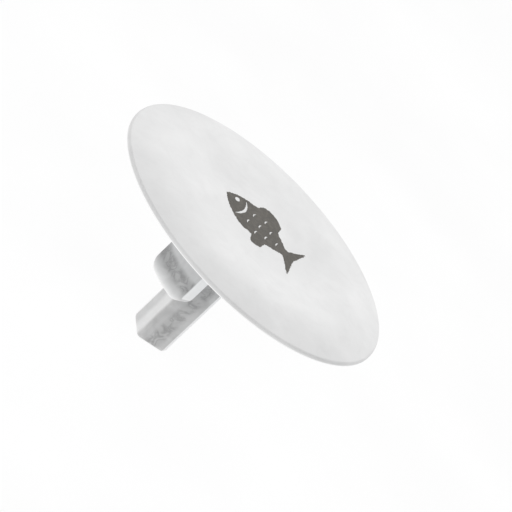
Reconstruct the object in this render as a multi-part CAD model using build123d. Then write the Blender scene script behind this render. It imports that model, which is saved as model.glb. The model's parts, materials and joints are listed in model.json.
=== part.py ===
from build123d import *
import os
from math import cos, radians, sin

os.makedirs("parts", exist_ok=True)

# Round hole-cover tip-up for ice fishing, in millimetres, +Z up.
# The origin is on the cover's axis, in the plane where the gasket rests on the ice.

# Cover lid: a shallow dished disc that tips up on a hinge at +Y.
LID_R = 127.0
LID_WALL = 1.8
RIM_BOTTOM = 4.4
RIM_TOP = 5.8
RIM_ROUND = 2.2
SHOULDER_DEG = 73.7
CREST_R = 98.0
CREST_Z = 13.6
DISH_R = 50.0
DISH_Z = 11.0
CENTRE_Z = 10.5
LINER_R = 104.0
LINER_BORE_R = 22.0
LINER_BOTTOM = 6.6
LINER_TOP = 7.6
LINER_SCREW_R = 90.0
LINER_SCREWS = 6
LINER_SCREW_BITE = 2.0
BOSS_R = 3.0

# Base: a flat plate with a cup-shaped hub in the middle.
BASE_R = 114.5
BASE_BOTTOM = 3.0
BASE_TOP = 5.5
BASE_ROUND = 0.8
HUB_R = 24.5
HUB_WALL = 2.5
HUB_FLOOR = -12.5
HUB_BOTTOM = -15.0
GASKET_IN_R = 101.5
SEAL_R = 102.0
SEAL_WIDTH = 4.0
SEAL_TOP = 6.3
SEAL_ROUND = 0.35
PAD_R = 96.0
PAD_IN_R = 26.0
PAD_BOTTOM = -9.0
PAD_CHAMFER = 2.0
PAD_GAP = 0.5
GRIP_RINGS = 3
GRIP_RING_R = 70.0
GRIP_RING_STEP = 14.0
GRIP_RING_WIDTH = 1.6
GRIP_RING_DEPTH = 0.6

# Hinge between the base and the lid, along X.
HINGE_Y = 121.0
HINGE_Z = 4.6
KNUCKLE_R = 2.2
KNUCKLE_WEB_HALF = 1.5
PIN_R = 1.25
PIN_HALF = 21.5
LID_KNUCKLE_HALF = 5.7
BASE_KNUCKLE_IN = 6.0
BASE_KNUCKLE_OUT = 14.0
TAB_IN_Y = 108.0
RUN_GAP = 0.05
NOTCH_HALF = 32.0
NOTCH_IN_Y = 115.0
NOTCH_TOP = 6.3
SPRING_X = 14.9
SPRING_MEAN_R = 1.8
SPRING_WIRE_R = 0.36
SPRING_PITCH = 1.0
SPRING_TURNS = 4.5
SPRING_LAP = 0.4
SPRING_LID_LEG = 13.0
SPRING_BASE_LEG = 5.6

# Square post that holds the trip shaft, closed at its lower end.
POST_SIDE = 29.0
POST_BORE = 22.0
POST_TIP = -118.2
POST_FLOOR = -112.0
POST_EDGE_ROUND = 4.2
POST_TIP_ROUND = 4.8
CORNER_PILLAR = 6.1
CORNER_PILLAR_BOTTOM = -34.0
CORNER_PILLAR_AT = 8.0
WINDOW_HALF_HIGH = 3.5
WINDOW_END_X = 4.9
WINDOW_END_Y = -3.5

# Trip: a vertical shaft with a cross bar above and a finger beside the spool.
SHAFT_R = 2.45
SHAFT_TOP = -1.0
SHAFT_END = -111.5
BUSH_R = 4.0
BUSH_FLANGE_R = 5.5
BUSH_FLANGE_TOP = -11.3
BUSH_BOTTOM = -16.5
LOWER_BUSH_TOP = -104.0
SEAL_RING_R = 4.5
SEAL_RING_TOP = -9.3
SEAL_RING_ROUND = 0.4
CLIP_Z = -8.8
CLIP_THICK = 0.8
CLIP_R = 4.0
CLIP_MOUTH_HALF = 1.5
GROOVE_R = 1.95
BAR_HUB_R = 4.5
BAR_HUB_BOTTOM = -7.0
BAR_HUB_TOP = -0.5
BAR_STEM_R = 3.5
BAR_LENGTH = 24.0
BAR_WIDTH = 6.0
BAR_BOTTOM = 6.2
BAR_TOP = 8.2
BAR_CHAMFER = 0.5
FINGER_Z = -28.5
FINGER_R = 1.2
FINGER_ROOT = 3.4
FINGER_TIP = 29.2
FINGER_TIP_ROUND = 0.7
FINGER_REST_DEG = 271.0
COLLAR_R = 5.5
COLLAR_HALF = 2.5

# Catch keeper under the lid: a cup with a slot that the cross bar passes.
KEEPER_R = 17.0
KEEPER_WALL = 1.6
KEEPER_BOTTOM = 4.2
KEEPER_FLOOR = 5.7
KEEPER_TOP = 8.0
KEEPER_FLANGE_R = 21.0
KEEPER_FLANGE_BOTTOM = 7.0
KEEPER_SCREW_R = 19.2
KEEPER_SCREW_BITE = 0.8
SLOT_LENGTH = 28.0
SLOT_WIDTH = 9.0

# Spool housing: a boss with a rounded outer face, on one side of the post.
HOUSING_DEG = 211.0
HOUSING_OUT_R = 46.6
HOUSING_IN_S = 26.0
HOUSING_HALF = 21.4
HOUSING_BOTTOM = -63.2
HOUSING_WALL = 2.4
HOUSING_ROUND = 4.5
HOUSING_CORNER = 9.5
HOUSING_HEEL_ROUND = 4.0
BACK_THICK = 1.8
BACK_TOP = -32.0
AXLE_Z = -42.8
AXLE_R = 2.5
AXLE_END_S = 44.5
AXLE_BOSS_R = 5.0
AXLE_BOSS_S = 41.6
SPACER_R = 4.5
SPOOL_IN_S = 29.8
SPOOL_OUT_S = 40.2
SPOOL_R = 16.5
SPOOL_FLANGE = 1.4
SPOOL_FLANGE_ROUND = 0.5
SIDE_GAP = 0.3
SPOOL_HUB_R = 6.0
LINE_R = 13.5
PEG_R = 1.2
PEG_CIRCLE_R = 14.3
PEG_DEG = 45.0
PEG_TIP_S = 28.1
EYELET_S = 35.0
EYELET_T = 8.0
EYELET_R = 4.0
EYELET_TUBE_R = 3.0
EYELET_BORE_R = 2.2
EYELET_LIP = 0.8
EYELET_ROUND = 0.5
PILLAR_R = 3.2
PILLAR_BOTTOM = -8.0
HOUSING_SCREW_PLACES = [(31.5, -16.5), (31.5, 16.5), (41.5, -7.0), (41.5, 7.0)]

# Screws: countersunk and low-headed self-tapping screws with cross slots.
SCREW_R = 1.4
HEAD_R = 2.8
HEAD_HIGH = 1.6
SCREW_LONG = 10.0
LOW_HEAD_HIGH = 0.7
LOW_HEAD_ROUND = 0.42
TINY_HEAD_R = 1.7
TINY_HEAD_HIGH = 0.6
CROSS_HALF_WIDE = 0.3
CROSS_DEEP = 0.6
LOW_CROSS_HALF_LONG = 1.6
LOW_CROSS_DEEP = 0.35
PILOT_EXTRA = 0.2

# Shared small sizes: shaft and pin ends, and how far a cutting tool passes its face.
END_CHAMFER = 0.3
SHAFT_CHAMFER = 0.4
PAST = 1.0


def cyl(radius, low, high):
    """Upright cylinder about Z between two heights."""
    return Pos(0, 0, (low + high) / 2) * Cylinder(radius, high - low)


def ring(outer, inner, low, high):
    """Upright ring about Z between two heights."""
    return cyl(outer, low, high) - cyl(inner, low, high)


def block(x_span, y_span, z_span):
    """Box between two corners, given as three spans."""
    size = [span[1] - span[0] for span in (x_span, y_span, z_span)]
    centre = [(span[0] + span[1]) / 2 for span in (x_span, y_span, z_span)]
    return Pos(*centre) * Box(*size)


def rod_x(radius, start, end, y=0.0, z=0.0):
    """Cylinder along X between two X values."""
    return Pos((start + end) / 2, y, z) * Rot(0, 90, 0) * Cylinder(radius, end - start)


def rod_y(radius, start, end, x=0.0, z=0.0):
    """Cylinder along Y between two Y values."""
    return Pos(x, (start + end) / 2, z) * Rot(90, 0, 0) * Cylinder(radius, end - start)


def around(radius, count, first_deg=0.0):
    """Places evenly spaced on a circle about Z."""
    steps = [radians(first_deg + 360.0 * k / count) for k in range(count)]
    return [(radius * cos(a), radius * sin(a)) for a in steps]


def on_housing(shape):
    """Turn a shape from the radial frame (X outward) to the housing's direction."""
    return Rot(0, 0, HOUSING_DEG) * shape


def flat_screw(length):
    """Countersunk screw, its head's top at the origin, pointing down."""
    head = Pos(0, 0, -HEAD_HIGH / 2) * Cone(SCREW_R, HEAD_R, HEAD_HIGH)
    shank = cyl(SCREW_R, -length, -HEAD_HIGH / 2)
    slot = block((-HEAD_R, HEAD_R), (-CROSS_HALF_WIDE, CROSS_HALF_WIDE), (-CROSS_DEEP, PAST))
    return head + shank - slot - Rot(0, 0, 90) * slot


def low_screw(length):
    """Low-headed screw seen from below: head's seat at the origin, shank up."""
    low = -LOW_HEAD_HIGH
    head = fillet(cyl(HEAD_R, low, 0).edges().group_by(Axis.Z)[0], LOW_HEAD_ROUND)
    shank = cyl(SCREW_R, 0, length)
    cross = (-LOW_CROSS_HALF_LONG, LOW_CROSS_HALF_LONG)
    slot = block(cross, (-CROSS_HALF_WIDE, CROSS_HALF_WIDE), (low - PAST, low + LOW_CROSS_DEEP))
    return head + shank - slot - Rot(0, 0, 90) * slot


def skin_solid(inset):
    """Solid of revolution under the lid's top skin, moved in by inset."""
    arc_r = RIM_ROUND - inset
    arc_centre = LID_R - RIM_ROUND
    slope = (-sin(radians(SHOULDER_DEG)), cos(radians(SHOULDER_DEG)))
    rim = (LID_R - inset, RIM_TOP)
    shoulder = (arc_centre + arc_r * slope[1], RIM_TOP - arc_r * slope[0])
    crest = (CREST_R, CREST_Z - inset)
    dish = (DISH_R, DISH_Z - inset)
    centre = (0, CENTRE_Z - inset)
    with BuildPart() as solid:
        with BuildSketch(Plane.XZ):
            with BuildLine():
                Line((0, RIM_BOTTOM), (rim[0], RIM_BOTTOM))
                Line((rim[0], RIM_BOTTOM), rim)
                TangentArc(rim, shoulder, tangent=(0, 1))
                Spline(shoulder, crest, dish, centre, tangents=[slope, (-1, 0)])
                Line(centre, (0, RIM_BOTTOM))
            make_face()
        revolve(axis=Axis.Z)
    return solid.part


def lid_knuckle():
    """Middle hinge knuckle with the web that joins it to the lid."""
    span = (-LID_KNUCKLE_HALF, LID_KNUCKLE_HALF)
    web_y = (HINGE_Y - KNUCKLE_WEB_HALF, HINGE_Y + KNUCKLE_WEB_HALF)
    web = block(span, web_y, (HINGE_Z, CREST_Z)) & skin_solid(LID_WALL / 2)
    barrel = rod_x(KNUCKLE_R, span[0], span[1], HINGE_Y, HINGE_Z)
    return web + barrel


def lid_shell():
    """Thin dished skin with a rolled rim, screw bosses and a hinge knuckle."""
    under = skin_solid(LID_WALL / 2)
    shell = skin_solid(0) - skin_solid(LID_WALL)
    shell -= block((-NOTCH_HALF, NOTCH_HALF), (NOTCH_IN_Y, LID_R + PAST), (0, NOTCH_TOP))
    for x, y in around(LINER_SCREW_R, LINER_SCREWS, 30):
        shell += Pos(x, y, 0) * cyl(BOSS_R, LINER_TOP, CREST_Z) & under
    shell += ring(KEEPER_FLANGE_R, KEEPER_R - KEEPER_WALL, KEEPER_TOP, CREST_Z) & under
    shell += lid_knuckle()
    bore_half = LID_KNUCKLE_HALF + PAST
    shell -= rod_x(PIN_R + RUN_GAP, -bore_half, bore_half, HINGE_Y, HINGE_Z)
    for x, y in around(LINER_SCREW_R, LINER_SCREWS, 30):
        shell -= Pos(x, y, LINER_TOP) * cyl(SCREW_R, 0, LINER_SCREW_BITE + PILOT_EXTRA)
    for x, y in around(KEEPER_SCREW_R, 3, 90):
        shell -= Pos(x, y, KEEPER_TOP) * cyl(SCREW_R, 0, KEEPER_SCREW_BITE + PILOT_EXTRA)
    return shell


def lid_foam():
    """Foam disc that fills the space between the lid's skin and its liner."""
    foam = skin_solid(LID_WALL) & ring(LINER_R - 1, LINER_BORE_R, LINER_TOP, CREST_Z)
    for x, y in around(LINER_SCREW_R, LINER_SCREWS, 30):
        foam -= Pos(x, y, 0) * cyl(BOSS_R, RIM_BOTTOM, CREST_Z)
    return foam


def signal_liner():
    """Bright disc under the lid, seen when the lid is up."""
    liner = ring(LINER_R, LINER_BORE_R, LINER_BOTTOM, LINER_TOP)
    for x, y in around(LINER_SCREW_R, LINER_SCREWS, 30):
        liner -= Pos(x, y, 0) * cyl(SCREW_R, LINER_BOTTOM, LINER_TOP)
    return liner


def liner_screws():
    """Low-headed screws that hold the liner to the lid's bosses."""
    screw = low_screw(LINER_TOP - LINER_BOTTOM + LINER_SCREW_BITE)
    places = around(LINER_SCREW_R, LINER_SCREWS, 30)
    return Part() + [Pos(x, y, LINER_BOTTOM) * screw for x, y in places]


def catch_keeper():
    """Slotted cup that the cross bar holds when it is turned across the slot."""
    keeper = ring(KEEPER_R, KEEPER_R - KEEPER_WALL, KEEPER_FLOOR, KEEPER_TOP)
    keeper += cyl(KEEPER_R, KEEPER_BOTTOM, KEEPER_FLOOR)
    keeper += ring(KEEPER_FLANGE_R, KEEPER_R - KEEPER_WALL, KEEPER_FLANGE_BOTTOM, KEEPER_TOP)
    slot = SlotOverall(SLOT_LENGTH, SLOT_WIDTH, rotation=90)
    keeper -= extrude(Pos(0, 0, KEEPER_BOTTOM) * slot, KEEPER_FLOOR - KEEPER_BOTTOM)
    for x, y in around(KEEPER_SCREW_R, 3, 90):
        keeper -= Pos(x, y, 0) * cyl(SCREW_R, KEEPER_FLANGE_BOTTOM, KEEPER_TOP)
    return keeper


def keeper_screws():
    """Small screws through the keeper's flange."""
    reach = KEEPER_TOP - KEEPER_FLANGE_BOTTOM + KEEPER_SCREW_BITE
    screw = cyl(TINY_HEAD_R, -TINY_HEAD_HIGH, 0) + cyl(SCREW_R, 0, reach)
    places = around(KEEPER_SCREW_R, 3, 90)
    return Part() + [Pos(x, y, KEEPER_FLANGE_BOTTOM) * screw for x, y in places]


def base_knuckles():
    """Two outer hinge knuckles on tabs of the base plate."""
    tabs = Part()
    for side in (-1, 1):
        ends = sorted((side * BASE_KNUCKLE_IN, side * BASE_KNUCKLE_OUT))
        tabs += block(ends, (TAB_IN_Y, HINGE_Y), (BASE_BOTTOM, BASE_TOP))
        tabs += rod_x(KNUCKLE_R, ends[0], ends[1], HINGE_Y, HINGE_Z)
    return tabs - rod_x(PIN_R, -BASE_KNUCKLE_OUT, BASE_KNUCKLE_OUT, HINGE_Y, HINGE_Z)


def post_screw_places():
    """Screw places above the post's pillars."""
    away = CORNER_PILLAR_AT
    return [(away, away), (-away, away), (away, -away)]


def sink(top):
    """Tool for a countersunk hole whose mouth is at a height."""
    cone = Pos(0, 0, top - HEAD_HIGH / 2) * Cone(SCREW_R, HEAD_R, HEAD_HIGH)
    return cone + cyl(SCREW_R, top - SCREW_LONG, top)


def base_plate():
    """Flat round plate with a hub cup, screw holes, grip rings and hinge knuckles."""
    plate = cyl(BASE_R, BASE_BOTTOM, BASE_TOP)
    plate = fillet(plate.edges().group_by(Axis.Z)[-1], BASE_ROUND)
    plate += cyl(HUB_R, HUB_BOTTOM, BASE_BOTTOM)
    plate -= cyl(HUB_R - HUB_WALL, HUB_FLOOR, BASE_TOP)
    plate -= cyl(BUSH_R, HUB_BOTTOM, HUB_FLOOR)
    for k in range(GRIP_RINGS):
        groove_r = GRIP_RING_R - k * GRIP_RING_STEP
        plate -= ring(groove_r, groove_r - GRIP_RING_WIDTH, BASE_TOP - GRIP_RING_DEPTH, BASE_TOP)
    plate += base_knuckles()
    for s, t in HOUSING_SCREW_PLACES:
        plate -= on_housing(Pos(s, t, 0) * sink(BASE_TOP))
    for x, y in post_screw_places():
        plate -= Pos(x, y, 0) * sink(HUB_FLOOR)
    return plate


def ice_gasket():
    """Soft ring under the plate that rests on the ice around the hole."""
    return ring(BASE_R, GASKET_IN_R, 0, BASE_BOTTOM)


def lid_seal():
    """Rubber bumper ring on the plate, just under the closed lid's liner."""
    bead = ring(SEAL_R, SEAL_R - SEAL_WIDTH, BASE_TOP, SEAL_TOP)
    return fillet(bead.edges().group_by(Axis.Z)[-1], SEAL_ROUND)


def housing_outline(grow):
    """Solid outline of the spool housing in the radial frame, grown by an amount."""
    high = BASE_BOTTOM - HOUSING_BOTTOM + grow
    start = HOUSING_IN_S - grow
    front = RectangleRounded(2 * (HOUSING_HALF + grow), 2 * high, HOUSING_CORNER + grow)
    front = Plane.YZ.offset(start) * (Pos(0, BASE_BOTTOM) * front)
    body = extrude(front, HOUSING_OUT_R + grow + PAST - start)
    return body & cyl(HOUSING_OUT_R + grow, HOUSING_BOTTOM - grow - PAST, BASE_BOTTOM)


def insulation_pad():
    """Foam ring under the plate, cut out around the spool housing."""
    pad = ring(PAD_R, PAD_IN_R, PAD_BOTTOM, BASE_BOTTOM)
    pad = chamfer(pad.edges().group_by(Axis.Z)[0].sort_by(SortBy.LENGTH)[-1], PAD_CHAMFER)
    return pad - on_housing(housing_outline(PAD_GAP))


def hinge_pin():
    """Steel pin along the hinge axis, with chamfered ends."""
    pin = rod_x(PIN_R, -PIN_HALF, PIN_HALF, HINGE_Y, HINGE_Z)
    return chamfer(pin.edges().filter_by(GeomType.CIRCLE), END_CHAMFER)


def hinge_spring():
    """Torsion spring around the pin, with one leg for the lid and one for the plate."""
    coil_path = Helix(SPRING_PITCH, SPRING_PITCH * SPRING_TURNS, SPRING_MEAN_R)
    wire = Plane(origin=coil_path @ 0, z_dir=coil_path % 0) * Circle(SPRING_WIRE_R)
    coil = Pos(SPRING_X, HINGE_Y, HINGE_Z) * Rot(0, 90, 0) * sweep(wire, path=coil_path, is_frenet=True)
    last_x = SPRING_X + SPRING_PITCH * SPRING_TURNS
    lap_y = HINGE_Y + SPRING_LAP
    upper = rod_y(SPRING_WIRE_R, HINGE_Y - SPRING_LID_LEG, lap_y, last_x, HINGE_Z + SPRING_MEAN_R)
    lower = rod_y(SPRING_WIRE_R, HINGE_Y - SPRING_BASE_LEG, lap_y, SPRING_X, HINGE_Z - SPRING_MEAN_R)
    return coil + upper + lower


def finger_window():
    """Window across the post's corner in which the trip finger swings."""
    outer = -POST_SIDE / 2 - PAST
    inner = -POST_BORE / 2 + PAST
    z_span = (FINGER_Z - WINDOW_HALF_HIGH, FINGER_Z + WINDOW_HALF_HIGH)
    minus_y = block((outer, WINDOW_END_X), (outer, inner), z_span)
    minus_x = block((outer, inner), (outer, WINDOW_END_Y), z_span)
    return minus_y + minus_x


def post_tube():
    """Square tube closed at the tip, with screw pillars in three corners."""
    half = POST_SIDE / 2
    tube = block((-half, half), (-half, half), (POST_TIP, HUB_BOTTOM))
    tube = fillet(tube.edges().filter_by(Axis.Z), POST_EDGE_ROUND)
    tube = fillet(tube.faces().sort_by(Axis.Z)[0].edges(), POST_TIP_ROUND)
    bore = POST_BORE / 2
    tube -= block((-bore, bore), (-bore, bore), (POST_FLOOR, HUB_BOTTOM))
    reach = CORNER_PILLAR / 2
    pillar = block((-reach, reach), (-reach, reach), (CORNER_PILLAR_BOTTOM, HUB_BOTTOM))
    for x, y in post_screw_places():
        tube += Pos(x, y, 0) * pillar
        tube -= Pos(x, y, 0) * cyl(SCREW_R, HUB_FLOOR - SCREW_LONG, HUB_BOTTOM)
    return tube - finger_window()


def post_screws():
    """Countersunk screws from the hub's floor into the post's pillars."""
    return Part() + [Pos(x, y, HUB_FLOOR) * flat_screw(SCREW_LONG) for x, y in post_screw_places()]


def upper_bushing():
    """Flanged bushing in the hub's floor."""
    body = cyl(BUSH_R, BUSH_BOTTOM, HUB_FLOOR) + cyl(BUSH_FLANGE_R, HUB_FLOOR, BUSH_FLANGE_TOP)
    return body - cyl(SHAFT_R + RUN_GAP, BUSH_BOTTOM, BUSH_FLANGE_TOP)


def lower_bushing():
    """Square bearing block in the bottom of the post."""
    half = POST_BORE / 2
    blank = block((-half, half), (-half, half), (POST_FLOOR, LOWER_BUSH_TOP))
    return blank - cyl(SHAFT_R + RUN_GAP, POST_FLOOR, LOWER_BUSH_TOP)


def shaft_seal():
    """Rubber seal ring on the upper bushing."""
    seal = ring(SEAL_RING_R, SHAFT_R + RUN_GAP, BUSH_FLANGE_TOP, SEAL_RING_TOP)
    return fillet(seal.edges().group_by(Axis.Z)[-1], SEAL_RING_ROUND)


def trip_shaft():
    """Long steel shaft with a groove for its clip."""
    shaft = cyl(SHAFT_R, SHAFT_END, SHAFT_TOP)
    shaft = chamfer(shaft.edges().filter_by(GeomType.CIRCLE), SHAFT_CHAMFER)
    return shaft - ring(SHAFT_R + PAST, GROOVE_R, CLIP_Z, CLIP_Z + CLIP_THICK)


def shaft_clip():
    """Spring clip that keeps the shaft from dropping."""
    clip = ring(CLIP_R, GROOVE_R, CLIP_Z, CLIP_Z + CLIP_THICK)
    mouth_y = (-CLIP_MOUTH_HALF, CLIP_MOUTH_HALF)
    return clip - block((0, CLIP_R + PAST), mouth_y, (CLIP_Z, CLIP_Z + CLIP_THICK))


def trip_bar():
    """Cross bar on a stem, pressed on the shaft's upper end."""
    bar = cyl(BAR_HUB_R, BAR_HUB_BOTTOM, BAR_HUB_TOP) + cyl(BAR_STEM_R, BAR_HUB_TOP, BAR_BOTTOM)
    outline = Pos(0, 0, BAR_BOTTOM) * SlotOverall(BAR_LENGTH, BAR_WIDTH, rotation=90)
    head = extrude(outline, BAR_TOP - BAR_BOTTOM)
    head = chamfer(head.edges().group_by(Axis.Z)[-1], BAR_CHAMFER)
    return bar + head - cyl(SHAFT_R, BAR_HUB_BOTTOM, SHAFT_TOP)


def trip_collar():
    """Collar on the shaft that carries the finger."""
    collar = ring(COLLAR_R, SHAFT_R, FINGER_Z - COLLAR_HALF, FINGER_Z + COLLAR_HALF)
    hole = rod_x(FINGER_R, FINGER_ROOT, COLLAR_R + PAST, 0, FINGER_Z)
    return collar - Rot(0, 0, FINGER_REST_DEG) * hole


def trip_finger():
    """Rod that the spool's peg knocks aside."""
    rod = rod_x(FINGER_R, FINGER_ROOT, FINGER_TIP, 0, FINGER_Z)
    rod = fillet(rod.edges().filter_by(GeomType.CIRCLE).sort_by(Axis.X)[-1], FINGER_TIP_ROUND)
    return Rot(0, 0, FINGER_REST_DEG) * rod


def spool_housing():
    """Hollow boss with a curved outer face, open towards the post."""
    body = housing_outline(0)
    curved_face = body.faces().filter_by(GeomType.CYLINDER).sort_by(SortBy.AREA)[-1]
    lower_edges = [e for e in curved_face.edges() if e.center().Z < BASE_BOTTOM - PAST]
    body = fillet(lower_edges, HOUSING_ROUND)
    heel_edges = body.edges().filter_by(Axis.Z).group_by(Axis.X)[0]
    body = fillet(heel_edges, HOUSING_HEEL_ROUND)
    cavity = housing_outline(-HOUSING_WALL)
    mouth = cavity.faces().sort_by(Axis.X)[0]
    cavity += extrude(mouth, 2 * HOUSING_WALL, dir=(-1, 0, 0))
    body -= cavity & cyl(HOUSING_OUT_R, HOUSING_BOTTOM, 0)
    body += rod_x(AXLE_BOSS_R, AXLE_BOSS_S, HOUSING_OUT_R - HOUSING_WALL / 2, 0, AXLE_Z)
    body -= rod_x(AXLE_R, AXLE_BOSS_S - PAST, AXLE_END_S, 0, AXLE_Z)
    for s, t in HOUSING_SCREW_PLACES:
        body += Pos(s, t, 0) * cyl(PILLAR_R, PILLAR_BOTTOM, BASE_BOTTOM) & housing_outline(0)
    for s, t in HOUSING_SCREW_PLACES:
        body -= Pos(s, t, 0) * cyl(SCREW_R, BASE_TOP - SCREW_LONG, BASE_BOTTOM)
    body -= Pos(EYELET_S, EYELET_T, HOUSING_BOTTOM) * cyl(EYELET_TUBE_R, 0, HOUSING_WALL)
    return on_housing(body)


def housing_back():
    """Flat plate that closes the housing's lower inner side and holds the axle."""
    end = HOUSING_IN_S + BACK_THICK
    half = HOUSING_HALF - HOUSING_WALL
    high = BASE_BOTTOM - HOUSING_BOTTOM - HOUSING_WALL
    front = RectangleRounded(2 * half, 2 * high, HOUSING_CORNER - HOUSING_WALL)
    blank = extrude(Plane.YZ.offset(HOUSING_IN_S) * (Pos(0, BASE_BOTTOM) * front), BACK_THICK)
    back = blank & block((HOUSING_IN_S, end), (-half, half), (HOUSING_BOTTOM, BACK_TOP))
    return on_housing(back - rod_x(AXLE_R, HOUSING_IN_S - PAST, end + PAST, 0, AXLE_Z))


def housing_screws():
    """Countersunk screws from the plate into the housing."""
    screws = [Pos(s, t, BASE_TOP) * flat_screw(SCREW_LONG) for s, t in HOUSING_SCREW_PLACES]
    return on_housing(Part() + screws)


def spool_axle():
    """Fixed axle, pointing away from the post."""
    axle = rod_x(AXLE_R, HOUSING_IN_S, AXLE_END_S, 0, AXLE_Z)
    return on_housing(chamfer(axle.edges().filter_by(GeomType.CIRCLE), END_CHAMFER))


def axle_spacer():
    """Sleeve that keeps the spool off the back plate."""
    start = HOUSING_IN_S + BACK_THICK
    sleeve = rod_x(SPACER_R, start, SPOOL_IN_S - SIDE_GAP, 0, AXLE_Z)
    return on_housing(sleeve - rod_x(AXLE_R, start, SPOOL_IN_S, 0, AXLE_Z))


def thrust_washer():
    """Washer between the spool and the housing's boss."""
    start = SPOOL_OUT_S + SIDE_GAP
    washer = rod_x(AXLE_BOSS_R, start, AXLE_BOSS_S, 0, AXLE_Z)
    return on_housing(washer - rod_x(AXLE_R, start - PAST, AXLE_BOSS_S + PAST, 0, AXLE_Z))


def line_spool():
    """Spool with two flanges and a peg on the inner one."""
    spool = rod_x(SPOOL_HUB_R, SPOOL_IN_S, SPOOL_OUT_S, 0, AXLE_Z)
    for start in (SPOOL_IN_S, SPOOL_OUT_S - SPOOL_FLANGE):
        flange = rod_x(SPOOL_R, start, start + SPOOL_FLANGE, 0, AXLE_Z)
        spool += fillet(flange.edges().filter_by(GeomType.CIRCLE), SPOOL_FLANGE_ROUND)
    peg_y = PEG_CIRCLE_R * sin(radians(PEG_DEG))
    peg_z = AXLE_Z + PEG_CIRCLE_R * cos(radians(PEG_DEG))
    spool += rod_x(PEG_R, PEG_TIP_S, SPOOL_IN_S + SPOOL_FLANGE / 2, peg_y, peg_z)
    bore = rod_x(AXLE_R + RUN_GAP, SPOOL_IN_S - PAST, SPOOL_OUT_S + PAST, 0, AXLE_Z)
    return on_housing(spool - bore)


def wound_line():
    """Line wound on the spool, as one pack."""
    start = SPOOL_IN_S + SPOOL_FLANGE
    end = SPOOL_OUT_S - SPOOL_FLANGE
    pack = rod_x(LINE_R, start, end, 0, AXLE_Z) - rod_x(SPOOL_HUB_R, start, end, 0, AXLE_Z)
    return on_housing(pack)


def line_eyelet():
    """Metal eyelet in the housing's floor, where the line leaves."""
    low = HOUSING_BOTTOM - EYELET_LIP
    top = HOUSING_BOTTOM + HOUSING_WALL
    lip = fillet(cyl(EYELET_R, low, HOUSING_BOTTOM).edges().group_by(Axis.Z)[0], EYELET_ROUND)
    eyelet = lip + cyl(EYELET_TUBE_R, HOUSING_BOTTOM, top) - cyl(EYELET_BORE_R, low, top)
    return on_housing(Pos(EYELET_S, EYELET_T, 0) * eyelet)


PARTS = [
    base_plate, ice_gasket, lid_seal, insulation_pad, hinge_pin, hinge_spring,
    post_tube, post_screws, upper_bushing, lower_bushing, shaft_seal,
    spool_housing, housing_back, housing_screws, spool_axle, axle_spacer,
    thrust_washer, line_eyelet,
    lid_shell, lid_foam, signal_liner, liner_screws, catch_keeper, keeper_screws,
    trip_shaft, shaft_clip, trip_bar, trip_collar, trip_finger,
    line_spool, wound_line,
]

for make in PARTS:
    export_step(make(), f"parts/{make.__name__}.step")
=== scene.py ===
import json
import math

import bmesh
import bpy
from mathutils import Matrix, Vector, noise
from mathutils.bvhtree import BVHTree
from mathutils.geometry import delaunay_2d_cdt


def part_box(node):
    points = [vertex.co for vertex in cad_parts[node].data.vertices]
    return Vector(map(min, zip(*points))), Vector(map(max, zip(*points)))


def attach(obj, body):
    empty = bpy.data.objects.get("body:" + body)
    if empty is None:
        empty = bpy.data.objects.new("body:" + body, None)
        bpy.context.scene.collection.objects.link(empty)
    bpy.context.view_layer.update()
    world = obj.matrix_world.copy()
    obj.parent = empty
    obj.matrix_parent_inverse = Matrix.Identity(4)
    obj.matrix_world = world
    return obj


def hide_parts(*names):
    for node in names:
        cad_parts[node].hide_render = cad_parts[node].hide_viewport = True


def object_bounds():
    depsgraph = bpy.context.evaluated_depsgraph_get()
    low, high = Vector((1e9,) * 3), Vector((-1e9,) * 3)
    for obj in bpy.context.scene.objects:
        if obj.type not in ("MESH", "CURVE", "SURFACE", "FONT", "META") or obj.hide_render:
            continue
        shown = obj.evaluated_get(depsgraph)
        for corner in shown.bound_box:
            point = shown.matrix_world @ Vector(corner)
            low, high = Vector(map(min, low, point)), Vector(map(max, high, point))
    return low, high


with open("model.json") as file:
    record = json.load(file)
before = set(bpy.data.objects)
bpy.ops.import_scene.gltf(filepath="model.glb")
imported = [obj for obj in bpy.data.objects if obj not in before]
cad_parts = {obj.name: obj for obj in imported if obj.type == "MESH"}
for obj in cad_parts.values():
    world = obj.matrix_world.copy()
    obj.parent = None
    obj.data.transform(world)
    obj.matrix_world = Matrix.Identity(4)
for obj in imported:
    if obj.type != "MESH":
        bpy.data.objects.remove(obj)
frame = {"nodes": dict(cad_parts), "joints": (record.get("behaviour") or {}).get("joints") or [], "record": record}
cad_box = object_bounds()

MM = 0.001

# ------------------------------------------------------------------ camera
# The picture is rolled, so the upright object hangs slantwise in it.
VIEW_AZIMUTH = math.radians(-29.0)
VIEW_ELEVATION = math.radians(23.09)
VIEW_ROLL = math.radians(46.7)
CAMERA_DISTANCE = 2.4
CAMERA_LENS = 223.35
SENSOR_WIDTH = 36.0
LID_PLANE = 5.5 * MM
AIM_RIGHT = 13.03 * MM
AIM_UP = -11.54 * MM


def camera_axes():
    """Right, up and back vectors of the camera before it is rolled."""
    sa, ca = math.sin(VIEW_AZIMUTH), math.cos(VIEW_AZIMUTH)
    se, ce = math.sin(VIEW_ELEVATION), math.cos(VIEW_ELEVATION)
    right = Vector((ca, sa, 0))
    back = Vector((sa * ce, -ca * ce, se))
    return right, back.cross(right), back


RIGHT, UP, BACK = camera_axes()
AWAY = Vector((-math.sin(VIEW_AZIMUTH), math.cos(VIEW_AZIMUTH), 0))


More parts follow.
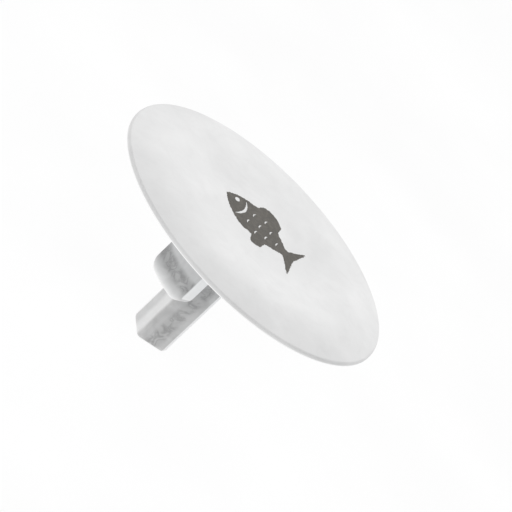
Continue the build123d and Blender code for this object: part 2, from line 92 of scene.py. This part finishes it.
def make_camera():
    """Camera at the picture's angle, rolled about its own axis."""
    cr, sr = math.cos(VIEW_ROLL), math.sin(VIEW_ROLL)
    right = RIGHT * cr + UP * sr
    up = UP * cr - RIGHT * sr
    aim = Vector((0, 0, LID_PLANE)) + RIGHT * AIM_RIGHT + UP * AIM_UP
    place = Matrix((right, up, BACK)).transposed().to_4x4()
    place.translation = aim + BACK * CAMERA_DISTANCE
    camera = bpy.data.objects.new("camera", bpy.data.cameras.new("camera"))
    camera.data.lens = CAMERA_LENS
    camera.data.sensor_width = SENSOR_WIDTH
    camera.matrix_world = place
    bpy.context.scene.collection.objects.link(camera)
    bpy.context.scene.camera = camera


make_camera()


# ------------------------------------------------------------------ materials
# Places where painted highlights and veined bands fade in or out, as (start, end) in metres.
# The lid's lower rim edge gets a painted highlight.
RIM_HIGHLIGHT_R = (0.1266, 0.1269)
RIM_HIGHLIGHT_Z = (0.0054, 0.0047)
X_FACE_LEAD = (-0.0005, 0.0042)
X_FACE_REACH = 0.0011
# Painted highlights on the post's corners and tip.
POST_CORNER_HIGHLIGHT = (0.0104, 0.0117)
POST_TIP_HIGHLIGHT = (-0.1158, -0.1177)
POST_VEIN_HALF = (0.0080, 0.0030)
# Painted highlights on the boss's sides and bottom edge.
BOSS_NEAR_HIGHLIGHT = (0.0206, 0.0213)
BOSS_FAR_HIGHLIGHT = (-0.0204, -0.0213)
BOSS_BOTTOM_HIGHLIGHT = (-0.0525, -0.0645)
BOSS_BAND_LOW = (-0.0540, -0.0485)
BOSS_BAND_HIGH = (-0.0370, -0.0420)
# The painted highlight strip on an X face follows the product of X and Y, in square metres.
HIGHLIGHT_STRIP_PRODUCT = (-0.00005, 0.00006)
HIGHLIGHT_STRIP_TONES = (0.26, 0.64)
BOSS_VEIN_TONE = 0.76
POST_VEIN_TONE = 0.90
HOUSING_TURN = math.radians(211.0)
BEAD_SCALE = 330.0


class Finish:
    """A node material whose patterns run in the object's own coordinates, in metres."""

    def __init__(self, name, **shader):
        self.material = bpy.data.materials.new(name)
        self.material.use_nodes = True
        self.nodes = self.material.node_tree.nodes
        self.links = self.material.node_tree.links
        self.shader = self.nodes["Principled BSDF"]
        self.coords = self.nodes.new("ShaderNodeTexCoord").outputs["Object"]
        for key, value in shader.items():
            self.shader.inputs[key.replace("_", " ")].default_value = value

    def stretched(self, scale, turn=(0, 0, 0)):
        """Coordinates scaled differently along each axis."""
        node = self.nodes.new("ShaderNodeMapping")
        node.inputs["Scale"].default_value = scale
        node.inputs["Rotation"].default_value = turn
        self.links.new(self.coords, node.inputs["Vector"])
        return node.outputs["Vector"]

    def noise(self, scale, detail=3.0, distortion=0.0, vector=None):
        node = self.nodes.new("ShaderNodeTexNoise")
        node.inputs["Scale"].default_value = scale
        node.inputs["Detail"].default_value = detail
        node.inputs["Distortion"].default_value = distortion
        self.links.new(vector or self.coords, node.inputs["Vector"])
        return node.outputs["Fac"]

    def cells(self, scale, feature="F1", vector=None):
        node = self.nodes.new("ShaderNodeTexVoronoi")
        node.feature = feature
        node.inputs["Scale"].default_value = scale
        self.links.new(vector or self.coords, node.inputs["Vector"])
        return node.outputs["Distance"]

    def ramp(self, factor, stops):
        """Colour ramp with (place, colour) stops."""
        node = self.nodes.new("ShaderNodeValToRGB")
        points = node.color_ramp.elements
        for point, (place, colour) in zip(points, stops):
            point.position = place
            point.color = (*colour, 1)
        for place, colour in stops[2:]:
            points.new(place).color = (*colour, 1)
        self.links.new(factor, node.inputs["Fac"])
        return node.outputs["Color"]

    def blend(self, factor, first, second, mode="MIX"):
        """Mix of two colours; each is a socket or an RGB tuple."""
        node = self.nodes.new("ShaderNodeMix")
        node.data_type = "RGBA"
        node.blend_type = mode
        sockets = (node.inputs[0], node.inputs[6], node.inputs[7])
        for socket, value in zip(sockets, (factor, first, second)):
            if isinstance(value, bpy.types.NodeSocket):
                self.links.new(value, socket)
            elif isinstance(value, float):
                socket.default_value = value
            else:
                socket.default_value = (*value, 1)
        return node.outputs[2]

    def spread(self, factor, low, high):
        """A 0 to 1 pattern spread between two values."""
        node = self.nodes.new("ShaderNodeMapRange")
        node.inputs["To Min"].default_value = low
        node.inputs["To Max"].default_value = high
        self.links.new(factor, node.inputs["Value"])
        return node.outputs["Result"]

    def step(self, value, start, end):
        """Smooth step from 0 at start to 1 at end; start may be the larger."""
        node = self.nodes.new("ShaderNodeMapRange")
        node.interpolation_type = "SMOOTHSTEP"
        low, high = min(start, end), max(start, end)
        node.inputs["From Min"].default_value = low
        node.inputs["From Max"].default_value = high
        node.inputs["To Min"].default_value = 0.0 if start < end else 1.0
        node.inputs["To Max"].default_value = 1.0 if start < end else 0.0
        self.links.new(value, node.inputs["Value"])
        return node.outputs["Result"]

    def axes(self, vector=None):
        """The three coordinates as separate values."""
        node = self.nodes.new("ShaderNodeSeparateXYZ")
        self.links.new(vector or self.coords, node.inputs["Vector"])
        return [node.outputs[axis] for axis in "XYZ"]

    def sum_up(self, operation, *values):
        """One math operation on up to three values."""
        node = self.nodes.new("ShaderNodeMath")
        node.operation = operation
        for value, socket in zip(values, node.inputs):
            if isinstance(value, float):
                socket.default_value = value
            else:
                self.links.new(value, socket)
        return node.outputs["Value"]

    def colour(self, socket):
        self.links.new(socket, self.shader.inputs["Base Color"])

    def roughness(self, socket):
        self.links.new(socket, self.shader.inputs["Roughness"])

    def bumps(self, *layers):
        """Bump layers of (pattern, height in metres), one over the other."""
        normal = None
        for pattern, height in layers:
            node = self.nodes.new("ShaderNodeBump")
            node.inputs["Distance"].default_value = height
            self.links.new(pattern, node.inputs["Height"])
            if normal:
                self.links.new(normal, node.inputs["Normal"])
            normal = node.outputs["Normal"]
        self.links.new(normal, self.shader.inputs["Normal"])


def grey(value, tint=0.0):
    """Near-neutral colour, a little bluer for a positive tint."""
    return (value * (1 - tint), value, value * (1 + tint))


def lid_white():
    """Satin white moulded plastic, cloudy, with a painted highlight along the lower rim edge and a few specks."""
    f = Finish("white_plastic", Specular_IOR_Level=0.3)
    clouds = f.noise(15.0, 5.0, 0.7)
    base = f.ramp(clouds, [(0.30, grey(0.665, 0.001)), (0.68, grey(0.730, 0.001))])
    fine = f.ramp(f.noise(70.0, 6.0, 1.2), [(0.34, grey(0.975)), (0.54, grey(1.0))])
    base = f.blend(1.0, base, fine, "MULTIPLY")
    specks = f.ramp(f.cells(480.0), [(0.05, grey(0.86)), (0.13, grey(1.0))])
    rare = f.ramp(f.noise(80.0, 1.0), [(0.58, grey(0.0)), (0.72, grey(1.0))])
    base = f.blend(rare, base, f.blend(1.0, base, specks, "MULTIPLY"))
    x, y, z = f.axes()
    squares = f.sum_up("MULTIPLY", x, x), f.sum_up("MULTIPLY", y, y)
    radius = f.sum_up("SQRT", f.sum_up("ADD", *squares))
    # Painted highlight: a pale band on the rim's lower edge.
    rim = f.sum_up("MULTIPLY", f.step(radius, *RIM_HIGHLIGHT_R), f.step(z, *RIM_HIGHLIGHT_Z))
    f.colour(f.blend(rim, base, grey(0.90)))
    f.roughness(f.spread(f.noise(60.0, 4.0), 0.50, 0.66))
    f.bumps((f.noise(45.0, 2.0), 0.00028), (f.noise(1500.0, 3.0), 0.00004))
    return f.material


def stem_white_painted_shade(name, edges, veins_at, vein_tone):
    """White plastic, painted a darker grey on its faces as painted shade, greyer and veined in the middle of its
    faces, with painted highlights along its edges.
    """
    f = Finish(name, Specular_IOR_Level=0.3)
    clouds = f.noise(52.0, 5.0, 0.8)
    # Painted shade: the faces are a darker grey than the lid's white, standing in for the shade under the lid.
    face = f.ramp(clouds, [(0.30, grey(0.43)), (0.68, grey(0.56))])
    swirl = f.noise(120.0, 6.0, 0.9)
    lines = f.ramp(swirl, [(0.38, grey(1.0)), (0.48, grey(0.72)), (0.58, grey(0.96))])
    veined = f.blend(1.0, f.blend(1.0, face, lines, "MULTIPLY"), grey(vein_tone), "MULTIPLY")
    face = f.blend(veins_at(f), face, veined)
    # Painted highlights: the highlight mask blends the faces to pale grey.
    f.colour(f.blend(edges(f), face, grey(0.88)))
    f.roughness(f.spread(f.noise(60.0, 4.0), 0.38, 0.56))
    f.bumps((f.noise(55.0, 2.0), 0.00030), (f.noise(1500.0, 3.0), 0.00004))
    return f.material


def post_sides(f):
    """Distances from the post's middle along X and Y, and 1 on its X faces."""
    x, y, _ = f.axes()
    wide_x, wide_y = f.sum_up("ABSOLUTE", x), f.sum_up("ABSOLUTE", y)
    return wide_x, wide_y, f.step(f.sum_up("SUBTRACT", wide_x, wide_y), *X_FACE_LEAD)


def post_painted_highlights(f):
    """Painted highlight mask: 1 at the post's tip and at the corners where X times Y is negative, less on its X
    faces.
    """
    x, y, z = f.axes()
    wide_x, wide_y, x_face = post_sides(f)
    product = f.sum_up("MULTIPLY", x, y)
    # The X faces get a painted highlight strip, brighter on one half.
    halves = f.spread(f.step(product, *HIGHLIGHT_STRIP_PRODUCT), *HIGHLIGHT_STRIP_TONES)
    strip = f.sum_up("MULTIPLY", halves, x_face)
    reach = f.sum_up("MULTIPLY_ADD", x_face, X_FACE_REACH, f.sum_up("MINIMUM", wide_x, wide_y))
    corner = f.step(reach, *POST_CORNER_HIGHLIGHT)
    corner = f.sum_up("MULTIPLY", corner, f.sum_up("LESS_THAN", product, 0.0))
    tip = f.step(z, *POST_TIP_HIGHLIGHT)
    return f.sum_up("MAXIMUM", strip, f.sum_up("MAXIMUM", corner, tip))


def post_veins(f):
    """1 along the middle of the post's Y faces."""
    wide_x, _, x_face = post_sides(f)
    y_face = f.sum_up("SUBTRACT", 1.0, x_face)
    return f.sum_up("MULTIPLY", f.step(wide_x, *POST_VEIN_HALF), y_face)


def boss_axes(f):
    """Radial, sideways and upward coordinates of the spool housing."""
    return f.axes(f.stretched((1.0, 1.0, 1.0), (0, 0, -HOUSING_TURN)))


def boss_painted_highlights(f):
    """Painted highlight mask: 1 along the housing's sides and bottom edge."""
    _, sideways, z = boss_axes(f)
    near = f.step(sideways, *BOSS_NEAR_HIGHLIGHT)
    far = f.step(sideways, *BOSS_FAR_HIGHLIGHT)
    bottom = f.step(z, *BOSS_BOTTOM_HIGHLIGHT)
    return f.sum_up("MAXIMUM", near, f.sum_up("MAXIMUM", far, bottom))


def boss_veins(f):
    """1 in a band across the housing."""
    _, _, z = boss_axes(f)
    return f.sum_up("MULTIPLY", f.step(z, *BOSS_BAND_LOW), f.step(z, *BOSS_BAND_HIGH))


def rubber():
    """Matt black rubber with a dusty, fine grain."""
    f = Finish("gasket_rubber", Specular_IOR_Level=0.3)
    f.colour(f.ramp(f.noise(140.0, 6.0), [(0.35, grey(0.018)), (0.75, grey(0.055))]))
    f.roughness(f.spread(f.noise(300.0), 0.62, 0.85))
    f.bumps((f.noise(2200.0, 4.0), 0.00006))
    return f.material


def bead_foam():
    """Faintly blue expanded foam, darker in the seams between its beads."""
    f = Finish("bead_foam", Specular_IOR_Level=0.2)
    seams = f.cells(BEAD_SCALE, "DISTANCE_TO_EDGE")
    tone = f.ramp(f.noise(40.0, 3.0), [(0.3, (0.57, 0.63, 0.68)), (0.7, (0.67, 0.72, 0.76))])
    lines = f.ramp(seams, [(0.0, grey(0.70)), (0.12, grey(1.0))])
    f.colour(f.blend(1.0, tone, lines, "MULTIPLY"))
    f.roughness(f.spread(f.noise(500.0), 0.70, 0.92))
    f.bumps((seams, 0.0005), (f.noise(1400.0, 2.0), 0.00008))
    return f.material


def signal_orange():
    """Bright orange sheet with fine rub marks."""
    f = Finish("signal_orange", Specular_IOR_Level=0.5)
    rubs = f.noise(30.0, 6.0, 0.3, f.stretched((1.0, 14.0, 1.0), (0, 0, 0.5)))
    f.colour(f.ramp(rubs, [(0.35, (0.87, 0.145, 0.010)), (0.65, (0.93, 0.172, 0.012))]))
    f.roughness(f.spread(rubs, 0.26, 0.48))
    f.bumps((rubs, 0.00005), (f.noise(900.0), 0.00003))
    return f.material


def metal(name, dark, bright, low, high, grain):
    """Drawn or turned metal with grain stretched along one axis."""
    f = Finish(name, Metallic=1.0)
    lines = f.noise(400.0, 5.0, 0.0, f.stretched(grain))
    stains = f.noise(180.0, 4.0, 0.6)
    f.colour(f.ramp(stains, [(0.3, dark), (0.7, bright)]))
    f.roughness(f.spread(lines, low, high))
    f.bumps((lines, 0.00003))
    return f.material


def fine_plastic(name, dark, bright, low, high):
    """Moulded plastic with a fine spark-eroded grain."""
    f = Finish(name, Specular_IOR_Level=0.45)
    f.colour(f.ramp(f.noise(120.0, 5.0, 0.4), [(0.3, dark), (0.7, bright)]))
    f.roughness(f.spread(f.noise(700.0, 3.0), low, high))
    f.bumps((f.noise(1800.0, 3.0), 0.00005))
    return f.material


def braided_line():
    """Dark green braid with paler flecks."""
    f = Finish("line_green", Sheen_Weight=0.2)
    flecks = f.cells(1500.0)
    f.colour(f.ramp(flecks, [(0.15, (0.030, 0.085, 0.045)), (0.6, (0.085, 0.19, 0.10))]))
    f.roughness(f.spread(f.noise(900.0), 0.55, 0.8))
    f.bumps((flecks, 0.00008))
    return f.material


def stamped_ink():
    """Dark, slightly starved ink on the lid."""
    f = Finish("print_ink", Specular_IOR_Level=0.3)
    grain = f.noise(900.0, 6.0, 0.5)
    thin = f.noise(170.0, 4.0, 0.8)
    starved = f.ramp(thin, [(0.45, grey(0.0)), (0.75, grey(0.5))])
    dark = f.ramp(grain, [(0.35, (0.036, 0.032, 0.025)), (0.68, (0.082, 0.073, 0.057))])
    f.colour(f.blend(starved, dark, (0.14, 0.125, 0.105)))
    f.roughness(f.spread(grain, 0.55, 0.78))
    f.bumps((grain, 0.00003))
    return f.material


BOSS_WHITE = stem_white_painted_shade("housing_plastic", boss_painted_highlights, boss_veins, BOSS_VEIN_TONE)
FINISHES = {
    "white_plastic": lid_white(),
    "post_plastic": stem_white_painted_shade("post_plastic", post_painted_highlights, post_veins, POST_VEIN_TONE),
    "gasket_rubber": rubber(),
    "foam": bead_foam(),
    "signal_orange": signal_orange(),
    "steel": metal("steel", grey(0.42, 0.01), grey(0.60, 0.01), 0.20, 0.38, (0.15, 1.0, 1.0)),
    "brass": metal("brass", (0.55, 0.36, 0.13), (0.72, 0.52, 0.22), 0.18, 0.36, (1.0, 1.0, 0.2)),
    "bearing_plastic": fine_plastic(
        "bearing_plastic", (0.62, 0.57, 0.45), (0.70, 0.66, 0.55), 0.40, 0.55),
    "black_plastic": fine_plastic("black_plastic", grey(0.014), grey(0.030), 0.38, 0.56),
    "line_green": braided_line(),
    "print_ink": stamped_ink(),
}


def finish_cad():
    """Give every CAD node the material of its slot, except the spool housing, which gets its own housing material.
    """
    slots = {entry["node"]: entry["material_slot"] for entry in frame["record"]["subparts"]}
    for name, node in frame["nodes"].items():
        node.data.materials.clear()
        finish = BOSS_WHITE if name.startswith("spool_housing") else FINISHES[slots[name]]
        node.data.materials.append(finish)


finish_cad()


# ------------------------------------------------------------------ helpers for pieces
def piece(name, mesh, slot, body, stands_for=()):
    """Link a finished mesh as a piece that rides on a body."""
    obj = bpy.data.objects.new(name, mesh)
    bpy.context.scene.collection.objects.link(obj)
    mesh.materials.clear()
    mesh.materials.append(FINISHES[slot])
    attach(obj, body)
    if stands_for:
        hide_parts(*stands_for)
    return obj


def turned(profile, segments, place=Matrix.Identity(4)):
    """Closed surface of revolution about Z from a closed (radius, height) profile in metres."""
    mesh = bpy.data.meshes.new("turned")
    count = len(profile)
    verts, faces = [], []
    for k in range(segments):
        a = 2 * math.pi * k / segments
        verts += [place @ Vector((r * math.cos(a), r * math.sin(a), z)) for r, z in profile]
    for k in range(segments):
        here, there = k * count, (k + 1) % segments * count
        for i in range(count):
            j = (i + 1) % count
            faces.append((here + i, there + i, there + j, here + j))
    mesh.from_pydata(verts, [], faces)
    bm = bmesh.new()
    bm.from_mesh(mesh)
    bmesh.ops.recalc_face_normals(bm, faces=bm.faces)
    bm.to_mesh(mesh)
    bm.free()
    for face in mesh.polygons:
        face.use_smooth = True
    return mesh


def joint(name):
    """Position and unit axis of a joint, in the object's frame."""
    found = next(j for j in frame["joints"] if j["name"] == name)
    return Vector(found["pos_m"]), Vector(found["axis"]).normalized()


# ------------------------------------------------------------------ stamped fish on the lid
# Lengths in millimetres. The drawing's points are scaled by FISH_LONG along and FISH_HIGH across.
FISH_NOSE_AXIS = -RIGHT
FISH_BACK_AXIS = AWAY
FISH_CENTRE = RIGHT * -1.0 * MM + AWAY * 3.0 * MM
FISH_LONG = 0.84
FISH_HIGH = 1.22
FISH_BODY = [
    (43, 0), (37, 7.5), (27, 14), (15, 18.5), (9, 27), (-3, 28.5), (-14, 23),
    (-15.5, 14.5), (-24, 9), (-32, 5), (-39, 11), (-47, 20), (-45, 8), (-43.5, 0),
    (-45, -8), (-47, -20), (-39, -11), (-32, -5), (-24, -9), (-15, -13.5), (-13, -22),
    (-3, -25), (1, -17.5), (11, -19), (22, -16.5), (33, -10.5), (39, -5),
]
FISH_GILL = [
    (25, 12), (20.5, 7), (18.5, 0), (20.5, -7), (25, -13), (22.6, -7), (21.2, 0), (22.6, 7),
]
FISH_SCALES = [
    (9, 6), (9, -7), (-2, 0), (-3, 11.5), (-3, -11), (-13, 5.5), (-13, -5.5), (-24, 0),
]
FISH_EYE = (32, 4.5)
EYE_R = 2.6
SCALE_R = 3.2
INK_THICK = 0.05
INK_LIFT = 0.03
OUTLINE_STEPS = 14
GILL_STEPS = 6
ROUGH_MM = 0.75
GILL_ROUGH = ROUGH_MM * 0.4
EYE_ROUGH = ROUGH_MM * 0.5
SCALE_ROUGH = ROUGH_MM * 0.3
COARSE_ROUGHNESS = 0.8
FINE_ROUGHNESS = 2.6
INNER_GRID = 2.5
MERGE_BELOW = 0.00001
SCALE_OPENING = range(-65, 66, 10)
SCALE_THICK = 0.42


def smooth_loop(points, steps):
    """Closed Catmull-Rom curve through points, in millimetres."""
    out = []
    n = len(points)
    for i in range(n):
        p0, p1, p2, p3 = (Vector((*points[(i + k) % n], 0)) for k in (-1, 0, 1, 2))
        for s in range(steps):
            t = s / steps
            a = 2 * p1 + (p2 - p0) * t + (2 * p0 - 5 * p1 + 4 * p2 - p3) * t * t
            out.append((a + (3 * p1 - p0 - 3 * p2 + p3) * t ** 3) / 2)
    return out


def rough_edge(loop, amount):
    """Push a loop's points in and out, as ink spreads on moulded plastic."""
    out = []
    n = len(loop)
    for i, p in enumerate(loop):
        along = (loop[(i + 1) % n] - loop[i - 1]).normalized()
        side = Vector((along.y, -along.x, 0))
        fine = noise.noise(p * FINE_ROUGHNESS + Vector((9, 4, 2)))
        push = noise.noise(p * COARSE_ROUGHNESS) + 0.9 * fine
        out.append(p + side * push * amount)
    return out


def on_circle(centre, radius, angles):
    """Points on a circle in millimetres."""
    x, y = centre
    return [Vector((x + radius * math.cos(a), y + radius * math.sin(a), 0)) for a in angles]


def disc_loop(centre, radius, count=20):
    """Round loop in millimetres."""
    return on_circle(centre, radius, [2 * math.pi * k / count for k in range(count)])


def crescent(centre, radius):
    """Thin arc-shaped loop, open towards the tail."""
    outer = on_circle(centre, radius, [math.radians(a) for a in SCALE_OPENING])
    half = (len(outer) - 1) / 2
    shift = radius * SCALE_THICK
    shifts = [shift * (1 - abs(k / half - 1) ** 2) for k in range(len(outer))]
    inner = [p - Vector((s, 0, 0)) for p, s in zip(outer, shifts)]
    return outer + inner[::-1]


def inner_points(loops):
    """Evenly spaced points that keep clear of the loops."""
    outline = [p for loop in loops for p in loop]
    reach = [max(abs(p[i]) for p in outline) for i in range(2)]
    columns, rows = (int(r / INNER_GRID) for r in reach)
    across, down = range(-columns, columns + 1), range(-rows, rows + 1)
    spots = [Vector((i, j, 0)) * INNER_GRID for i in across for j in down]
    return [spot for spot in spots if min((spot - p).length for p in outline) > INNER_GRID / 2]


def inside(loops, x, y):
    """Whether a point is inside an odd number of loops."""
    odd = False
    for loop in loops:
        for p, q in zip(loop, loop[1:] + loop[:1]):
            crosses = (p.y > y) != (q.y > y)
            if crosses and x < p.x + (q.x - p.x) * (y - p.y) / (q.y - p.y):
                odd = not odd
    return odd


def filled(loops):
    """Corners and triangles of the area between loops, with holes where loops lie inside."""
    points, edges = [], []
    for loop in loops:
        first, count = len(points), len(loop)
        points += [p.to_2d() for p in loop]
        edges += [(first + i, first + (i + 1) % count) for i in range(count)]
    points += [p.to_2d() for p in inner_points(loops)]
    corners, _, triangles = delaunay_2d_cdt(points, edges, [], 0, MERGE_BELOW)[:3]
    middles = [sum((corners[i] for i in face), Vector((0, 0))) / 3 for face in triangles]
    kept = [face for face, mid in zip(triangles, middles) if inside(loops, mid.x, mid.y)]
    return corners, kept


def lid_surface():
    """Search tree over the lid's shell, for laying things on its top."""
    shell = frame["nodes"]["lid_shell"].data
    corners = [v.co for v in shell.vertices]
    return BVHTree.FromPolygons(corners, [p.vertices[:] for p in shell.polygons])


def make_mark():
    """Generic fish pictogram, stamped on the middle of the lid."""
    loops = [rough_edge(smooth_loop(FISH_BODY, OUTLINE_STEPS), ROUGH_MM)]
    loops.append(rough_edge(smooth_loop(FISH_GILL, GILL_STEPS), GILL_ROUGH))
    loops.append(rough_edge(disc_loop(FISH_EYE, EYE_R), EYE_ROUGH))
    loops += [rough_edge(crescent(c, SCALE_R), SCALE_ROUGH) for c in FISH_SCALES]
    corners, triangles = filled(loops)
    tree = lid_surface()
    laid = []
    for corner in corners:
        along, across = corner.x * FISH_LONG * MM, corner.y * FISH_HIGH * MM
        flat = FISH_CENTRE + FISH_NOSE_AXIS * along + FISH_BACK_AXIS * across
        hit = tree.ray_cast(Vector((flat.x, flat.y, 1.0)), Vector((0, 0, -1)))[0]
        laid.append(hit + Vector((0, 0, (INK_LIFT + INK_THICK) * MM)))
    mesh = bpy.data.meshes.new("stamped_mark")
    mesh.from_pydata(laid, [], [face[::-1] for face in triangles])
    mark = piece("stamped_mark", mesh, "print_ink", "lid")
    thick = mark.modifiers.new("ink", "SOLIDIFY")
    thick.thickness = INK_THICK * MM
    thick.offset = 0


make_mark()


# ------------------------------------------------------------------ gasket with sealing lips
GASKET_WIDE = 13.0 * MM
GASKET_CHAMFER = 0.3 * MM
LIP_COUNT = 3
LIP_DEEP = 1.1 * MM
LIP_STEPS = 48
GASKET_SEGMENTS = 160


def make_gasket():
    """Rubber ring with rounded lips on the ice side."""
    low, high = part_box("ice_gasket")
    outer = high.x
    inner = outer - GASKET_WIDE
    bottom = []
    for k in range(LIP_STEPS + 1):
        t = k / LIP_STEPS
        wave = 0.5 - 0.5 * math.cos(2 * math.pi * LIP_COUNT * t)
        bottom.append((inner + (outer - inner) * t, low.z + LIP_DEEP * (1 - wave ** 0.6)))
    shoulder = high.z - GASKET_CHAMFER
    top = [(outer, shoulder), (outer - GASKET_CHAMFER, high.z)]
    top += [(inner + GASKET_CHAMFER, high.z), (inner, shoulder)]
    ring = turned(bottom + top, GASKET_SEGMENTS)
    piece("sealing_lips", ring, "gasket_rubber", "root", ("ice_gasket",))


make_gasket()


# ------------------------------------------------------------------ bead foam
SEAM_WIDE = 0.22


def beaded(node_name, piece_name, body, voxel, depth):
    """Foam block with the small hollows between its beads, from the CAD node's shape."""
    source = frame["nodes"][node_name]
    obj = piece(piece_name, source.data.copy(), "foam", body, (node_name,))
    remesh = obj.modifiers.new("remesh", "REMESH")
    remesh.mode = "VOXEL"
    remesh.voxel_size = voxel
    bpy.context.view_layer.update()
    evaluated = obj.evaluated_get(bpy.context.evaluated_depsgraph_get())
    dense = bpy.data.meshes.new_from_object(evaluated)
    obj.modifiers.clear()
    obj.data = dense
    normals = [v.normal.copy() for v in dense.vertices]
    for vert, normal in zip(dense.vertices, normals):
        near, second = noise.voronoi(vert.co * BEAD_SCALE)[0][:2]
        seam = max(0.0, 1.0 - (second - near) / SEAM_WIDE)
        vert.co -= normal * depth * seam * seam
    for face in dense.polygons:
        face.use_smooth = True
    dense.materials.clear()
    dense.materials.append(FINISHES["foam"])


beaded("insulation_pad", "foam_board", "root", voxel=1.1 * MM, depth=0.35 * MM)
beaded("lid_foam", "lid_foam_board", "lid", voxel=1.3 * MM, depth=0.2 * MM)


# ------------------------------------------------------------------ wound line
# Lengths in millimetres; PACK_START and PACK_END are along the spool's axis.
LINE_PITCH = 0.25
STEPS_PER_TURN = 6
WINDING_SEGMENTS = 120
SLACK = 0.45
SLOW_WANDER = 0.25
SLOW_WAVE = 7.0
QUICK_WANDER = 0.12
QUICK_WAVE = 19.0
RIDGE = 0.08
LINE_HUB_R = 6.05
LINE_PACK_R = 13.4
PACK_START = 31.25
PACK_END = 38.75


def make_winding():
    """Line wound in even turns, with a slow wander in their height."""
    origin, axis = joint("spool_spin")
    side = Vector((0, 0, 1)).cross(axis)
    place = Matrix((side, axis.cross(side), axis)).transposed().to_4x4()
    place.translation = Vector((0, 0, origin.z))
    turns = int((PACK_END - PACK_START) / LINE_PITCH)
    steps = turns * STEPS_PER_TURN
    outer = []
    for k in range(steps + 1):
        t = k / steps
        ridge = abs(math.sin(math.pi * turns * t))
        wander = SLOW_WANDER * math.sin(SLOW_WAVE * t)
        wander += QUICK_WANDER * math.sin(QUICK_WAVE * t + 1.0)
        radius = LINE_PACK_R - SLACK + wander + RIDGE * ridge
        outer.append((radius * MM, (PACK_START + (PACK_END - PACK_START) * t) * MM))
    inner = [(LINE_HUB_R * MM, PACK_END * MM), (LINE_HUB_R * MM, PACK_START * MM)]
    winding = turned(outer + inner, WINDING_SEGMENTS, place)
    piece("line_winding", winding, "line_green", "spool", ("wound_line",))


make_winding()


# ------------------------------------------------------------------ stage and light
# Lengths in metres, KEY_SPREAD in degrees.
FLOOR_DROP = 1.0
FLOOR_HALF = 30.0
KEY_FROM = AWAY * 0.84 + Vector((0, 0, 0.58))
KEY_SPREAD = 40.0
KEY_STRENGTH = 1.35
FILL_FROM = -AWAY * 2.1 - RIGHT * 0.9 + Vector((0, 0, 0.25))
FILL_SIZE = 1.0
FILL_WATTS = 8.0
SKY_STRENGTH = 0.78


def make_floor():
    """Wide pale floor, well below the part, which hangs as it does in a hole."""
    low = cad_box[0].z - FLOOR_DROP
    mesh = bpy.data.meshes.new("floor")
    signs = ((-1, -1), (1, -1), (1, 1), (-1, 1))
    corners = [(x * FLOOR_HALF, y * FLOOR_HALF, low) for x, y in signs]
    mesh.from_pydata(corners, [], [(0, 1, 2, 3)])
    floor = bpy.data.objects.new("floor", mesh)
    bpy.context.scene.collection.objects.link(floor)
    f = Finish("pale_floor", Specular_IOR_Level=0.1)
    f.colour(f.ramp(f.noise(3.0, 2.0), [(0.3, grey(0.945)), (0.7, grey(0.965))]))
    f.shader.inputs["Roughness"].default_value = 0.9
    mesh.materials.append(f.material)


def area_light(name, place, size, watts):
    """Square soft light aimed at the lid."""
    data = bpy.data.lights.new(name, "AREA")
    data.size = size
    data.energy = watts
    light = bpy.data.objects.new(name, data)
    light.location = place
    light.rotation_euler = (-place).to_track_quat("-Z", "Y").to_euler()
    bpy.context.scene.collection.objects.link(light)


def soft_sun(name, direction, spread, strength):
    """Distant soft light from a direction, with its apparent width in degrees."""
    data = bpy.data.lights.new(name, "SUN")
    data.angle = math.radians(spread)
    data.energy = strength
    light = bpy.data.objects.new(name, data)
    light.rotation_euler = (-direction).to_track_quat("-Z", "Y").to_euler()
    bpy.context.scene.collection.objects.link(light)


def make_light():
    """A broad light from beyond, a low fill, and an even sky."""
    soft_sun("key", KEY_FROM, KEY_SPREAD, KEY_STRENGTH)
    area_light("fill", FILL_FROM, FILL_SIZE, FILL_WATTS)
    world = bpy.data.worlds.new("sky")
    world.use_nodes = True
    sky = world.node_tree.nodes["Background"]
    sky.inputs["Color"].default_value = (1, 1, 1, 1)
    sky.inputs["Strength"].default_value = SKY_STRENGTH
    bpy.context.scene.world = world
    bpy.context.scene.view_settings.view_transform = "Standard"


make_floor()
make_light()
